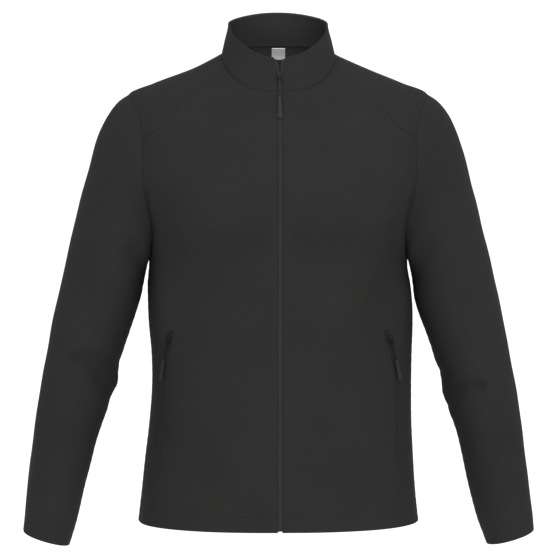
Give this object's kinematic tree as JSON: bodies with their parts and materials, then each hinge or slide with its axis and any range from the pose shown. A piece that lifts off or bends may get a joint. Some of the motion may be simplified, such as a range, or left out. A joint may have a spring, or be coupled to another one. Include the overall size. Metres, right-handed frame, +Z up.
{
  "type": "softshell jacket",
  "caption": "Zip-front softshell jacket with stand-up collar, yoked shoulders and slanted zip pockets, in its worn shape with open neck, hem, cuffs and sleeves.",
  "frame": {"origin": "middle of the neck opening, level with the shoulders beside the neck, where the wearer's shoulders hold the jacket", "axes": "+Z up the body, the front faces -Y, +X to the viewer's right"},
  "size_m": [0.7514, 0.2624, 0.778],
  "materials": {
    "shell": "matt bonded cloth, charcoal",
    "zip": "woven tape and coil, charcoal",
    "fitting": "satin, dark grey",
    "grip": "moulded, dark grey",
    "label": "woven, light grey"
  },
  "bodies": {
    "jacket": {"front_left": "shell", "front_right": "shell", "back": "shell", "yoke_left": "shell", "yoke_right": "shell", "sleeve_left": "shell", "sleeve_right": "shell", "collar": "shell", "zip_guard": "shell", "zip_left": "zip", "zip_right": "zip", "pocket_zip_left": "zip", "pocket_zip_right": "zip", "front_slider": "fitting", "pocket_left_slider": "fitting", "pocket_right_slider": "fitting", "neck_label": "label"},
    "front_pull_body": {"front_pull": "fitting", "front_grip": "grip"},
    "pocket_left_pull_body": {"pocket_left_pull": "fitting", "pocket_left_grip": "grip"},
    "pocket_right_pull_body": {"pocket_right_pull": "fitting", "pocket_right_grip": "grip"}
  },
  "joints": [
    {"name": "front_pull_hinge", "type": "hinge", "parent": "jacket", "child": "front_pull_body", "pos_m": [0, -0.09499, -0.02875], "axis": [-1, 0, 0], "range_deg": [0, 150]},
    {"name": "pocket_left_pull_hinge", "type": "hinge", "parent": "jacket", "child": "pocket_left_pull_body", "pos_m": [-0.16448, -0.08217, -0.4131], "axis": [-0.6893, 0.6557, 0.308], "range_deg": [0, 150]},
    {"name": "pocket_right_pull_hinge", "type": "hinge", "parent": "jacket", "child": "pocket_right_pull_body", "pos_m": [0.16459, -0.08765, -0.41303], "axis": [-0.7449, -0.5864, -0.3182], "range_deg": [0, 150]}
  ]
}
